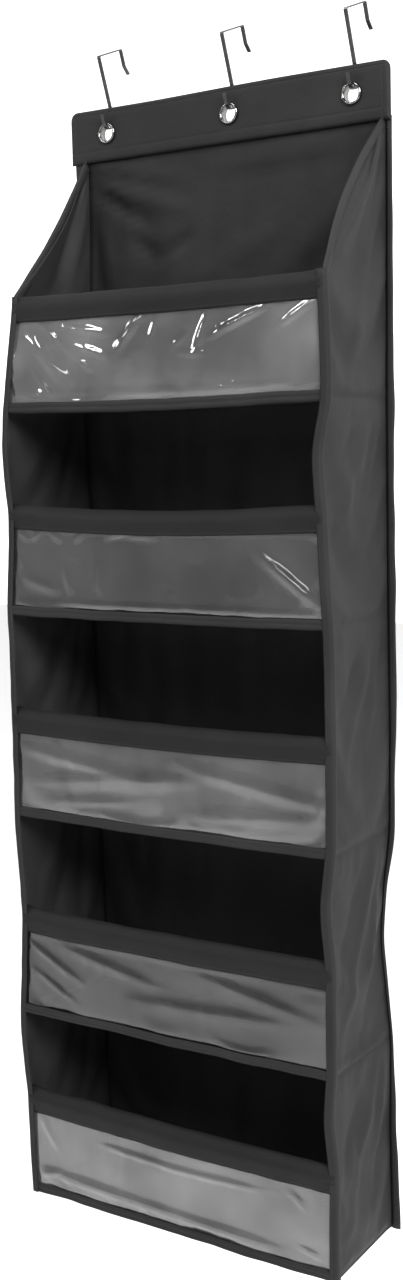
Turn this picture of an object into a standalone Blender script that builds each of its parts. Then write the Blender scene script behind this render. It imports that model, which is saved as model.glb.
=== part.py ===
"""Over-door hanging organizer: five fabric tiers with clear fronts, hung on three flat-strip hooks.

Metres. X is the width, the front faces -Y and +Z is up. The origin is on the back panel's rear face,
at mid width, level with the seam under the header. Every piece of cloth is a plain plate, sleeve or
folded strip of the right size; the five shelves slide up the shaft when the organizer is folded away.
"""

import math

import bmesh
import bpy
from mathutils import Vector

# Cloth, board and clearance.
CLOTH = 0.0012
TAPE = 0.0009
CLEAR_SHEET = 0.0004
BOARD = 0.0020
GAP = 0.0003

# Whole object.
BACK_WIDTH = 0.352
POCKET_WIDTH = 0.340
DEPTH = 0.1205
HEADER_HEIGHT = 0.050
HEADER_CORNER = 0.007
HEADER_DEPTH = 0.0046
SEAM_ALLOWANCE = 0.0040
GUSSET_DROP = 0.138

# Tiers: how far each shelf hangs below the header seam, and the bands of each front from the shelf up.
SHELF_DROPS = (0.244, 0.437, 0.635, 0.834, 1.020)
BINDING_HEIGHT = 0.009
WINDOW_HEIGHT = 0.074
HEM_HEIGHT = 0.023
WINDOW_TUCK = 0.008
FOLD_DEPTH = 0.0018
SHELF_THICKNESS = 0.0044
SHELF_SIDE_PLAY = 0.0035
SHELF_FRONT_PLAY = 0.0010
SHELF_REAR_PLAY = 0.0013

# Binding tapes down the corners.
CORNER_TAPE_LEG = 0.0083
FLANGE_TAPE = 0.0090

# Eyelets. The middle one stands a little right of centre, and the outer two aren't mirrored.
EYELET_PLACES = {"left": -0.1310, "center": 0.0105, "right": 0.1390}
EYELET_DROP = 0.0248
EYELET_BORE = 0.00725
EYELET_WALL = 0.0005
EYELET_FLANGE = 0.0100
CLOTH_HOLE = 0.0079
WASHER_THICKNESS = 0.0006
ROUND_STEPS = 32

# Hooks, bent from flat strip. The J turns round its own centre inside the eyelet.
STRIP_WIDTH = 0.0036
STRIP_THICKNESS = 0.0013
J_RADIUS = 0.00775
J_LEG = 0.0080
SHANK = 0.0590
DOOR_BAR = 0.0380
REAR_LEG = 0.0160
FLARE_LENGTH = 0.0092
FLARE_ANGLE = math.radians(27)
CORNER_RADIUS = 0.0016
PIVOT_ABOVE_BORE = 0.0050
HOOK_LEAN = math.radians(20)

# Worked out.
HALF_BACK = BACK_WIDTH / 2
HALF_POCKET = POCKET_WIDTH / 2
SIDE_INNER = HALF_POCKET - CLOTH
FRONT_HALF = SIDE_INNER - GAP
BASE = -SHELF_DROPS[-1]
BACK_FRONT = -CLOTH
BAND_REAR = BACK_FRONT - GAP
BAND_FRONT = BAND_REAR - HEADER_DEPTH
CORNER_TAPE_Y = -DEPTH + TAPE / 2
FOLD_FRONT = CORNER_TAPE_Y + TAPE + GAP
FOLD_REAR = FOLD_FRONT + FOLD_DEPTH
FRONT_INNER = FOLD_REAR + TAPE / 2
EYELET_Z = HEADER_HEIGHT - EYELET_DROP
PIVOT_Y = (BAND_FRONT + 2 * GAP) / 2
PIVOT_Z = EYELET_Z + EYELET_BORE + PIVOT_ABOVE_BORE
SIDES = {"left": -1, "right": 1}


def clear_scene():
    for obj in list(bpy.data.objects):
        bpy.data.objects.remove(obj, do_unlink=True)


def make_collection(name):
    collection = bpy.data.collections.new(name)
    bpy.context.scene.collection.children.link(collection)
    return collection


def make_material(name, colour, roughness, metallic=0.0, alpha=1.0):
    material = bpy.data.materials.new(name)
    material.use_nodes = True
    shader = material.node_tree.nodes["Principled BSDF"]
    shader.inputs["Base Color"].default_value = (*colour, 1.0)
    shader.inputs["Roughness"].default_value = roughness
    shader.inputs["Metallic"].default_value = metallic
    shader.inputs["Alpha"].default_value = alpha
    return material


def add_mesh(name, bm, collection, material=None):
    """A new object that holds the bmesh, which is freed."""
    mesh = bpy.data.meshes.new(name)
    bm.to_mesh(mesh)
    bm.free()
    if material:
        mesh.materials.append(material)
    obj = bpy.data.objects.new(name, mesh)
    collection.objects.link(obj)
    return obj


def box_bmesh(low, high):
    bm = bmesh.new()
    bmesh.ops.create_cube(bm, size=1.0)
    size = Vector(high) - Vector(low)
    middle = (Vector(high) + Vector(low)) / 2
    bmesh.ops.scale(bm, vec=size, verts=bm.verts)
    bmesh.ops.translate(bm, vec=middle, verts=bm.verts)
    return bm


def round_top_corners(bm, radius):
    """Bevels the two top edges that run along Y."""
    top = max(vert.co.z for vert in bm.verts)
    edges = [
        edge
        for edge in bm.edges
        if all(abs(vert.co.z - top) < 1e-6 for vert in edge.verts)
        and abs(edge.verts[0].co.x - edge.verts[1].co.x) < 1e-6
    ]
    bmesh.ops.bevel(bm, geom=edges, offset=radius, segments=5, profile=0.5, affect="EDGES")


def open_face(bm, direction):
    """Deletes the face that points along the direction, so that Solidify leaves a mouth there."""
    bm.normal_update()
    faces = [face for face in bm.faces if face.normal.dot(Vector(direction)) > 0.99]
    bmesh.ops.delete(bm, geom=faces, context="FACES_ONLY")


def solidify(obj, thickness, offset):
    modifier = obj.modifiers.new("thickness", "SOLIDIFY")
    modifier.thickness = thickness
    modifier.offset = offset
    modifier.use_even_offset = True


def rounded_path(corners, radii, steps=6):
    """The points of a polyline whose inner corners are rounded to the radii, one for each corner."""
    points = [Vector(corners[0])]
    for before, corner, after, radius in zip(corners, corners[1:], corners[2:], radii):
        corner = Vector(corner)
        inward = (Vector(before) - corner).normalized()
        outward = (Vector(after) - corner).normalized()
        half_angle = inward.angle(outward) / 2
        middle = corner + (inward + outward).normalized() * radius / math.sin(half_angle)
        start = corner + inward * radius / math.tan(half_angle) - middle
        end = corner + outward * radius / math.tan(half_angle) - middle
        for step in range(steps + 1):
            turned = start.normalized().slerp(end.normalized(), step / steps) * radius
            if (middle + turned - points[-1]).length > 1e-5:
                points.append(middle + turned)
    points.append(Vector(corners[-1]))
    return points


def folded_strip(name, points, run, thickness, collection, material):
    """A strip whose section follows the 3-D points and whose length is the vector run."""
    bm = bmesh.new()
    verts = [bm.verts.new(point) for point in points]
    edges = [bm.edges.new(pair) for pair in zip(verts, verts[1:])]
    swept = bmesh.ops.extrude_edge_only(bm, edges=edges)
    moved = [item for item in swept["geom"] if isinstance(item, bmesh.types.BMVert)]
    bmesh.ops.translate(bm, vec=run, verts=moved)
    bmesh.ops.recalc_face_normals(bm, faces=bm.faces)
    obj = add_mesh(name, bm, collection, material)
    solidify(obj, thickness, 0.0)
    return obj


def turned_ring(name, profile, thickness, place, collection, material):
    """Sheet metal turned about the Y axis through place. The profile is (radius, distance in front)."""
    bm = bmesh.new()
    verts = [bm.verts.new((radius, 0.0, height)) for radius, height in profile]
    for pair in zip(verts, verts[1:]):
        bm.edges.new(pair)
    obj = add_mesh(name, bm, collection, material)
    obj.location = place
    obj.rotation_euler = (math.radians(90), 0.0, 0.0)
    screw = obj.modifiers.new("turn", "SCREW")
    screw.axis = "Z"
    screw.steps = ROUND_STEPS
    screw.render_steps = ROUND_STEPS
    screw.use_merge_vertices = True
    screw.merge_threshold = 0.00005
    screw.use_smooth_shade = True
    solidify(obj, thickness, 0.0)
    return obj


def make_hole_cutter(place, x, cutters):
    """A rod along Y through the header, for one eyelet."""
    bm = bmesh.new()
    bmesh.ops.create_cone(
        bm, cap_ends=True, segments=ROUND_STEPS, radius1=CLOTH_HOLE, radius2=CLOTH_HOLE, depth=0.03
    )
    cutter = add_mesh(f"hole_cutter_{place}", bm, cutters)
    cutter.location = (x, 0.0, EYELET_Z)
    cutter.rotation_euler = (math.radians(90), 0.0, 0.0)
    cutter.hide_render = True
    cutter.display_type = "WIRE"
    return cutter


def cut_holes(obj, hole_cutters):
    for cutter in hole_cutters:
        cut = obj.modifiers.new("eyelet hole", "BOOLEAN")
        cut.operation = "DIFFERENCE"
        cut.solver = "EXACT"
        cut.object = cutter


def make_back_panel(collection, material):
    """A plain sheet from the base up to just past the header seam. Its rear face hangs against the door."""
    half = HALF_BACK - FLANGE_TAPE
    bm = box_bmesh((-half, BACK_FRONT, BASE), (half, 0.0, SEAM_ALLOWANCE))
    add_mesh("back_panel", bm, collection, material)


def make_header(hole_cutters, collection, cloth, board):
    """The band is a sleeve open along the seam, with the board inside it and a lining behind it."""
    bm = box_bmesh((-HALF_BACK, BAND_FRONT, 0.0), (HALF_BACK, BAND_REAR, HEADER_HEIGHT))
    round_top_corners(bm, HEADER_CORNER)
    open_face(bm, (0, 0, -1))
    band = add_mesh("header_band", bm, collection, cloth)
    solidify(band, TAPE, -1.0)
    cut_holes(band, hole_cutters)

    inset = TAPE + 2 * GAP
    low = (inset - HALF_BACK, (BAND_FRONT + BAND_REAR - BOARD) / 2, inset)
    high = (HALF_BACK - inset, (BAND_FRONT + BAND_REAR + BOARD) / 2, HEADER_HEIGHT - inset)
    bm = box_bmesh(low, high)
    round_top_corners(bm, HEADER_CORNER)
    stiffener = add_mesh("header_board", bm, collection, board)
    cut_holes(stiffener, hole_cutters)

    low = (-HALF_BACK, BACK_FRONT, SEAM_ALLOWANCE + GAP)
    bm = box_bmesh(low, (HALF_BACK, 0.0, HEADER_HEIGHT))
    round_top_corners(bm, HEADER_CORNER)
    lining = add_mesh("header_lining", bm, collection, cloth)
    cut_holes(lining, hole_cutters)


def make_eyelet(place, x, collection, material):
    """A rolled flange and barrel from the front, and a flat washer that it is clinched on behind."""
    barrel = EYELET_BORE + EYELET_WALL / 2
    front = -BAND_FRONT
    profile = [
        (barrel, -0.0009),
        (barrel, front - 0.0002),
        (barrel + 0.0005, front + 0.0010),
        (barrel + 0.0013, front + 0.0015),
        (EYELET_FLANGE - 0.0005, front + 0.0011),
        (EYELET_FLANGE - EYELET_WALL / 2, front + 0.0005),
    ]
    turned_ring(f"eyelet_{place}", profile, EYELET_WALL, (x, 0.0, EYELET_Z), collection, material)
    behind = -(GAP + WASHER_THICKNESS / 2)
    flat = [(CLOTH_HOLE + 0.0001, behind), (EYELET_FLANGE, behind)]
    turned_ring(f"washer_{place}", flat, WASHER_THICKNESS, (x, 0.0, EYELET_Z), collection, material)


def make_hook(place, x, collection, material):
    """One strip: J in the eyelet, shank behind the header, bar over the door, rear leg and flare."""
    rear = J_RADIUS + DOOR_BAR
    kink = SHANK - REAR_LEG
    corners = [
        (0, -J_RADIUS, J_LEG),
        (0, -J_RADIUS, -J_RADIUS),
        (0, J_RADIUS, -J_RADIUS),
        (0, J_RADIUS, SHANK),
        (0, rear, SHANK),
        (0, rear, kink),
        (0, rear + FLARE_LENGTH * math.sin(FLARE_ANGLE), kink - FLARE_LENGTH * math.cos(FLARE_ANGLE)),
    ]
    radii = (J_RADIUS, J_RADIUS, CORNER_RADIUS, CORNER_RADIUS, CORNER_RADIUS * 2)
    points = [point - Vector((STRIP_WIDTH / 2, 0, 0)) for point in rounded_path(corners, radii)]
    run = (STRIP_WIDTH, 0, 0)
    hook = folded_strip(f"hook_{place}", points, run, STRIP_THICKNESS, collection, material)
    hook.location = (x, PIVOT_Y, PIVOT_Z)
    hook.rotation_euler = (HOOK_LEAN, 0.0, 0.0)


def make_side_panel(side, sign, collection, material):
    """Full height behind, and cut away in front from the header down to the first tier."""
    near, far = sorted((sign * SIDE_INNER, sign * HALF_POCKET))
    bm = box_bmesh((near, FOLD_FRONT, BASE), (far, BAND_REAR, 0.0))
    for vert in bm.verts:
        if vert.co.z > -0.001 and vert.co.y < -0.01:
            vert.co.z = -GUSSET_DROP
    add_mesh(f"side_panel_{side}", bm, collection, material)


def make_corner_tapes(side, sign, collection, material):
    """One tape wraps the front corner, and one is folded along the flange outside the side seam."""
    corner_x = HALF_POCKET + GAP + TAPE / 2
    corners = [
        (sign * (corner_x - CORNER_TAPE_LEG), CORNER_TAPE_Y, BASE),
        (sign * corner_x, CORNER_TAPE_Y, BASE),
        (sign * corner_x, CORNER_TAPE_Y + CORNER_TAPE_LEG, BASE),
    ]
    run = (0, 0, -BASE - GUSSET_DROP)
    folded_strip(f"front_binding_{side}", corners, run, TAPE, collection, material)

    edge_x = HALF_BACK - TAPE / 2
    front_y = -2 * TAPE - GAP - TAPE / 2
    corners = [
        (sign * (HALF_POCKET + 2 * GAP), front_y, BASE),
        (sign * edge_x, front_y, BASE),
        (sign * edge_x, -TAPE / 2, BASE),
        (sign * (HALF_BACK - FLANGE_TAPE + GAP), -TAPE / 2, BASE),
    ]
    run = (0, 0, -BASE - GAP)
    folded_strip(f"back_binding_{side}", corners, run, TAPE, collection, material)


def make_front(tier, floor, collection, cloth, clear):
    """Lower binding, clear window and folded hem, from the shelf's level up."""
    run = (2 * FRONT_HALF, 0, 0)
    low = floor + TAPE / 2
    binding_top = floor + BINDING_HEIGHT
    corners = [
        (-FRONT_HALF, FOLD_FRONT, binding_top),
        (-FRONT_HALF, FOLD_FRONT, low),
        (-FRONT_HALF, FOLD_REAR, low),
        (-FRONT_HALF, FOLD_REAR, binding_top),
    ]
    folded_strip(f"lower_binding_{tier}", corners, run, TAPE, collection, cloth)

    hem_low = binding_top + WINDOW_HEIGHT
    hem_top = hem_low + HEM_HEIGHT - TAPE / 2
    corners = [
        (-FRONT_HALF, FOLD_FRONT, hem_low),
        (-FRONT_HALF, FOLD_FRONT, hem_top),
        (-FRONT_HALF, FOLD_REAR, hem_top),
        (-FRONT_HALF, FOLD_REAR, hem_low),
    ]
    folded_strip(f"hem_band_{tier}", corners, run, TAPE, collection, cloth)

    middle = (FOLD_FRONT + FOLD_REAR) / 2
    window_low = (-FRONT_HALF, middle - CLEAR_SHEET / 2, floor + TAPE + GAP)
    window_high = (FRONT_HALF, middle + CLEAR_SHEET / 2, hem_low + WINDOW_TUCK)
    add_mesh(f"window_{tier}", box_bmesh(window_low, window_high), collection, clear)


def make_shelf(tier, floor, collection, cloth, board):
    """A stiff board in a sleeve that is open towards the back panel."""
    half = SIDE_INNER - SHELF_SIDE_PLAY + CLOTH
    front = FRONT_INNER + SHELF_FRONT_PLAY
    rear = BACK_FRONT - SHELF_REAR_PLAY
    bm = box_bmesh((-half, front, floor), (half, rear, floor + SHELF_THICKNESS))
    open_face(bm, (0, 1, 0))
    cover = add_mesh(f"shelf_cover_{tier}", bm, collection, cloth)
    solidify(cover, TAPE, -1.0)

    inset = TAPE + 2 * GAP
    board_low = floor + (SHELF_THICKNESS - BOARD) / 2
    low = (inset - half, front + inset, board_low)
    high = (half - inset, rear - 2 * GAP, board_low + BOARD)
    add_mesh(f"shelf_board_{tier}", box_bmesh(low, high), collection, board)


def main():
    clear_scene()
    parts = make_collection("hanging_organizer")
    cutters = make_collection("cutters")
    cloth = make_material("black_fabric", (0.030, 0.030, 0.032), 0.85)
    tape = make_material("binding_tape", (0.022, 0.022, 0.024), 0.75)
    clear = make_material("clear_sheet", (0.85, 0.87, 0.88), 0.12, alpha=0.3)
    board = make_material("grey_board", (0.32, 0.30, 0.27), 0.8)
    nickel = make_material("nickel", (0.78, 0.78, 0.77), 0.18, metallic=1.0)
    black_steel = make_material("black_steel", (0.05, 0.05, 0.055), 0.35, metallic=0.6)

    hole_cutters = [make_hole_cutter(place, x, cutters) for place, x in EYELET_PLACES.items()]
    make_back_panel(parts, cloth)
    make_header(hole_cutters, parts, cloth, board)
    for place, x in EYELET_PLACES.items():
        make_eyelet(place, x, parts, nickel)
        make_hook(place, x, parts, black_steel)
    for side, sign in SIDES.items():
        make_side_panel(side, sign, parts, cloth)
        make_corner_tapes(side, sign, parts, tape)
    for tier, drop in enumerate(SHELF_DROPS, start=1):
        make_front(tier, -drop, parts, cloth, clear)
        make_shelf(tier, -drop, parts, cloth, board)


main()
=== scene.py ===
import math

import bmesh
import bpy
import numpy as np
from mathutils import Matrix, Vector, noise
from mathutils.bvhtree import BVHTree


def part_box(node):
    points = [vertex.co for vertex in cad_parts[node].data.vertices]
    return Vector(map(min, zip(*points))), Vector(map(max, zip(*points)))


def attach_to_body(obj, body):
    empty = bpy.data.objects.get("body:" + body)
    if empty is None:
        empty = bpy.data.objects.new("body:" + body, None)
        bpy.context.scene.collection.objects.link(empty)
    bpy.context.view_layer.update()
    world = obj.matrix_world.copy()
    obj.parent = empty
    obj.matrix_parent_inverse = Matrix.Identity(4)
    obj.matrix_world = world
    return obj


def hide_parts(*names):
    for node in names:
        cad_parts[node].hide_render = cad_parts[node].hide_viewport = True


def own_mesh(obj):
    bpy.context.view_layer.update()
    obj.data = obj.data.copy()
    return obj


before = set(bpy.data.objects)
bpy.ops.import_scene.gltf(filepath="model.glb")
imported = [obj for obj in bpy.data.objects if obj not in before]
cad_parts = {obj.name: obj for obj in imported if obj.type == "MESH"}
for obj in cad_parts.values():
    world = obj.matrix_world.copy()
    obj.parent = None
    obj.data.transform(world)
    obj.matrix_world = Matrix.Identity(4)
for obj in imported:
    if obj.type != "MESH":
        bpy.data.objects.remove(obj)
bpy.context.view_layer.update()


def corners_of(node):
    return [Vector(corner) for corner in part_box(node)]


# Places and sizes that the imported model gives.
TIERS = range(1, 6)
SIDES = {"left": -1.0, "right": 1.0}
EYELETS = ("left", "center", "right")
BAND_LOW, BAND_HIGH = corners_of("header_band")
BACK_LOW, BACK_HIGH = corners_of("back_panel")
TAPE_LOW, TAPE_HIGH = corners_of("front_binding_right")
BASE = BACK_LOW.z
FRONT_Y = TAPE_LOW.y
MOUTH = TAPE_HIGH.z
FLOORS = {tier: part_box(f"lower_binding_{tier}")[0][2] for tier in TIERS}
BINDING_TOPS = {tier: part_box(f"lower_binding_{tier}")[1][2] for tier in TIERS}
HEM_LOWS = {tier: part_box(f"hem_band_{tier}")[0][2] for tier in TIERS}
HEM_TOPS = {tier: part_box(f"hem_band_{tier}")[1][2] for tier in TIERS}
EYELET_MIDDLES = {place: sum(corners_of(f"eyelet_{place}"), Vector()) / 2 for place in EYELETS}
EYELET_BORE = 0.00725

# How the cloth hangs: how far from the middle each edge stands, read off the picture through the fitted
# camera and rounded to the millimetre, at each tier's shelf, its hem and the opening above. A tier that gives
# fewer values runs straight on. Tier 0 is the header seam.
FRONT_HALF = {
    "left": {
        1: (0.178, 0.161), 2: (0.181, 0.174, 0.180), 3: (0.181, 0.178), 4: (0.182, 0.175),
        5: (0.173, 0.177, 0.181),
    },
    "right": {
        1: (0.176, 0.174), 2: (0.175, 0.171, 0.166), 3: (0.175, 0.177), 4: (0.173, 0.175, 0.169),
        5: (0.174, 0.176, 0.169),
    },
}
BACK_HALF = {
    "left": {0: (0.159,), 1: (0.171, 0.163, 0.160), 2: (0.168,), 3: (0.168,), 4: (0.168, 0.167), 5: (0.168,)},
    "right": {
        0: (0.170,), 1: (0.168,), 2: (0.168,), 3: (0.168, 0.169), 4: (0.168, 0.158, 0.162),
        5: (0.168, 0.166),
    },
}
FLANGE_HALF = {
    "left": {0: (0.173,), 1: (0.175,), 2: (0.175,), 3: (0.175,), 4: (0.174, 0.172), 5: (0.176,)},
    "right": {
        0: (0.176,), 1: (0.176,), 2: (0.176,), 3: (0.174, 0.176), 4: (0.170, 0.161, 0.166),
        5: (0.177, 0.174),
    },
}
# How far the middle of each side's cut-away top edge bows: back where it is pulled in, forward where it sags.
GUSSET_BOW = {"left": 0.007, "right": -0.014}
SIDE_FOLDS = {2: 0.110, 3: 0.130, 4: 0.170, 5: 0.150}
HEM_DROOP = {1: 0.001, 2: 0.006, 3: 0.003, 4: 0.002, 5: 0.001}
BINDING_DROOP = {1: 0.003, 2: 0.001, 3: 0.001, 4: 0.001, 5: 0.0}
WINDOW_BELLY = {1: 0.003, 2: 0.002, 3: 0.004, 4: 0.002, 5: 0.003}

# Sewing, and how thick the cloth and the film are.
STITCH_PITCH = 0.0032
STITCH_LENGTH = 0.0023
THREAD = 0.00022
CLOTH = 0.0009
FILM = 0.0004
# Each window's film tone differs from the others': the milky haze is the film's own, and its lighter or
# darker level per window is painted reflection.
FILM_LOOKS = {
    1: {"tone": 0.064, "haze": 0.62, "crinkled": 0.85, "coat": 1.0},
    2: {"tone": 0.020, "haze": 0.54, "crinkled": 0.25, "coat": 1.0},
    3: {"tone": 0.033, "haze": 0.58, "crinkled": 0.20, "coat": 1.0},
    4: {"tone": 0.011, "haze": 0.48, "crinkled": 0.40, "coat": 0.4},
    5: {"tone": 0.060, "haze": 0.55, "crinkled": 0.06, "coat": 1.0},
}


# ---------------------------------------------------------------- shapes against height

def station_heights(tier):
    """A tier's shelf, the middle of its hem, and the middle of the opening above it."""
    if tier == 0:
        return [0.0]
    hem = (HEM_LOWS[tier] + HEM_TOPS[tier]) / 2
    opening = (HEM_TOPS[tier] + FLOORS.get(tier - 1, 0.0)) / 2
    return [FLOORS[tier], hem, opening]


def smooth_profile(values_by_tier, blur=0.010):
    """A smooth function of height through the tiers' values."""
    points = []
    for tier, values in values_by_tier.items():
        points += zip(station_heights(tier), values)
    heights, values = zip(*sorted(points))
    dense = np.linspace(heights[0] - 0.06, heights[-1] + 0.06, 900)
    raw = np.interp(dense, heights, values)
    reach = int(3 * blur / (dense[1] - dense[0]))
    weights = np.exp(-0.5 * (np.arange(-reach, reach + 1) * (dense[1] - dense[0]) / blur) ** 2)
    padded = np.pad(raw, reach, mode="edge")
    smooth = np.convolve(padded, weights / weights.sum(), mode="valid")
    return lambda height: float(np.interp(height, dense, smooth))


front_half = {side: smooth_profile(tiers) for side, tiers in FRONT_HALF.items()}
back_half = {side: smooth_profile(tiers) for side, tiers in BACK_HALF.items()}
flange_half = {side: smooth_profile(tiers) for side, tiers in FLANGE_HALF.items()}


def mix(a, b, share):
    return a + (b - a) * share


def ripple(point, size, amount, seed):
    """A smooth random offset: waves about size long and up to about amount high."""
    place = Vector(point) / size + Vector((seed * 7.3, seed * 3.1, seed * 5.7))
    return amount * noise.noise(place)


def front_y(x, z):
    """The front face of the fronts, with the slow waves that the hems and tapes share."""
    return FRONT_Y + 0.0010 + ripple((x, 0.0, z), 0.075, 0.0022, 1)


def front_point(tier, share, z, depth=0.0):
    """A point of a front: share runs from the left corner to the right one."""
    low = FLOORS[tier]
    rise = min(max((z - low) / (HEM_TOPS[tier] - low), 0.0), 1.0)
    droop = mix(BINDING_DROOP[tier], HEM_DROOP[tier], rise)
    belly = WINDOW_BELLY[tier] * math.sin(math.pi * rise)
    arch = math.sin(math.pi * share)
    x = mix(-front_half["left"](z), front_half["right"](z), share)
    return Vector((x, front_y(x, z) + depth - belly * arch, z - droop * arch))


def gusset_share(z):
    """0 at the mouth of the top pocket, 1 at the header seam."""
    return min(max((z - MOUTH) / -MOUTH, 0.0), 1.0)


def side_front_point(side, z):
    """The front edge of a side panel, with its cut-away top."""
    share = gusset_share(z)
    half = mix(front_half[side](min(z, MOUTH)), back_half[side](0.0), share)
    x = SIDES[side] * (half - 0.0012)
    y = mix(front_y(x, z) + 0.0012, -0.006, share) + GUSSET_BOW[side] * math.sin(math.pi * share)
    return Vector((x, y, z))


def side_back_point(side, z):
    return Vector((SIDES[side] * (back_half[side](z) - 0.0006), -0.0008, z))


# ---------------------------------------------------------------- mesh helpers

def add_object(name, mesh, material):
    mesh.materials.append(material)
    obj = bpy.data.objects.new(name, mesh)
    bpy.context.scene.collection.objects.link(obj)
    return obj


def smooth_object(name, bm, material):
    mesh = bpy.data.meshes.new(name)
    bm.to_mesh(mesh)
    bm.free()
    mesh.shade_smooth()
    return add_object(name, mesh, material)


def sheet_mesh(name, columns, rows, surface, material):
    """A grid whose points are surface(u, v), with u and v from 0 to 1."""
    bm = bmesh.new()
    bmesh.ops.create_grid(bm, x_segments=columns, y_segments=rows, size=0.5)
    for vert in bm.verts:
        vert.co = surface(vert.co.x + 0.5, vert.co.y + 0.5)
    return smooth_object(name, bm, material)


def swept_strip(name, stations, section, place, material):
    """A strip whose section points are laid at each station by place(station, section point)."""
    count = len(section) - 1
    last = len(stations) - 1

    def surface(u, v):
        return place(stations[round(u * last)], section[round(v * count)])

    return sheet_mesh(name, last, count, surface, material)


def section_length(section):
    return sum(math.dist(one, other) for one, other in zip(section, section[1:]))


def thicken(obj, thickness, offset=0.0):
    modifier = obj.modifiers.new("thickness", "SOLIDIFY")
    modifier.thickness = thickness
    modifier.offset = offset


def applied(obj):
    """Applies the object's modifiers to its mesh."""
    bpy.context.view_layer.update()
    evaluated = obj.evaluated_get(bpy.context.evaluated_depsgraph_get())
    mesh = bpy.data.meshes.new_from_object(evaluated)
    obj.modifiers.clear()
    obj.data = mesh


def settle(obj, pinned, slack, bending, push, cap, frames=26):
    """Cloth simulation between the pinned points. The result is applied, no point moving beyond cap."""
    rest = np.array([vert.co for vert in obj.data.vertices])
    group = obj.vertex_groups.new(name="pinned")
    held = [vert.index for vert in obj.data.vertices if pinned(vert.co)]
    group.add(held, 1.0, "REPLACE")
    cloth = obj.modifiers.new("drape", "CLOTH")
    settings = cloth.settings
    settings.quality = 6
    settings.mass = 0.12
    settings.tension_stiffness = 25
    settings.compression_stiffness = 20
    settings.shear_stiffness = 8
    settings.bending_stiffness = bending
    settings.shrink_min = -slack
    settings.air_damping = 3.0
    settings.use_pressure = True
    settings.uniform_pressure_force = push
    settings.vertex_group_mass = "pinned"
    cloth.collision_settings.use_collision = False
    cloth.point_cache.frame_start = 1
    cloth.point_cache.frame_end = frames
    scene = bpy.context.scene
    for step in range(1, frames + 1):
        scene.frame_set(step)
    evaluated = obj.evaluated_get(bpy.context.evaluated_depsgraph_get())
    settled = np.array([vert.co for vert in evaluated.data.vertices])
    obj.modifiers.remove(cloth)
    obj.vertex_groups.remove(group)
    scene.frame_set(1)
    move = settled - rest
    length = np.linalg.norm(move, axis=1, keepdims=True)
    move *= np.where(length > cap, cap / np.maximum(length, 1e-9), 1.0)
    obj.data.vertices.foreach_set("co", (rest + move).astype(np.float32).ravel())
    obj.data.update()


def ridge(point, start, end, width, height):
    """How high a fold that runs from start to end stands at a point, all in one plane."""
    along = end - start
    share = (point - start).dot(along) / along.length_squared
    if not -0.15 < share < 1.15:
        return 0.0
    beside = (point - start - along * share).length
    taper = math.sin(math.pi * min(max((share + 0.15) / 1.3, 0.0), 1.0))
    return height * taper * math.exp(-((beside / width) ** 2))


def press_folds(obj, folds, axes, normal):
    """Raises each (start, end, width, height) fold along the normal. Starts and ends are in the two axes."""
    for vert in obj.data.vertices:
        flat = Vector((vert.co[axes[0]], vert.co[axes[1]]))
        lift = sum(ridge(flat, Vector(start), Vector(end), *size) for start, end, *size in folds)
        vert.co += normal * lift
    obj.data.update()


def surface_tree(obj):
    bpy.context.view_layer.update()
    return BVHTree.FromObject(obj, bpy.context.evaluated_depsgraph_get())


def walk(route, pitch):
    """Points and directions every pitch along a polyline."""
    route = [Vector(point) for point in route]
    carried = pitch / 2
    for start, end in zip(route, route[1:]):
        length = (end - start).length
        while carried < length:
            yield start + (end - start) * (carried / length), (end - start) / length
            carried += pitch
        carried -= length


def stitch_rows(name, target, routes, inward, material, reach=0.03):
    """Rows of thread laid on the target's surface, found by looking along inward."""
    tree = surface_tree(target)
    inward = Vector(inward)
    bm = bmesh.new()
    for route in routes:
        for point, along in walk(route, STITCH_PITCH):
            hit, normal, _, _ = tree.ray_cast(point - inward * reach, inward, 2 * reach)
            if hit is None:
                continue
            across = along.cross(-inward).normalized()
            half = along * STITCH_LENGTH / 2
            ring = [across * THREAD, -inward * THREAD * 1.2, -across * THREAD, inward * THREAD]
            middle = [bm.verts.new(hit + offset) for offset in ring]
            first = bm.verts.new(hit - half + inward * THREAD)
            second = bm.verts.new(hit + half + inward * THREAD)
            for one, other in zip(middle, middle[1:] + middle[:1]):
                bm.faces.new((first, other, one))
                bm.faces.new((second, one, other))
    bmesh.ops.recalc_face_normals(bm, faces=bm.faces)
    return smooth_object(name, bm, material)


def attach(obj, body, slot, *nodes):
    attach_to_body(obj, body)
    if nodes:
        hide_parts(*nodes)


def hang(obj, slot, *nodes):
    """A piece of the cloth shell: it rides on the root."""
    attach(obj, "root", slot, *nodes)
    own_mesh(obj)


# ---------------------------------------------------------------- materials

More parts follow.
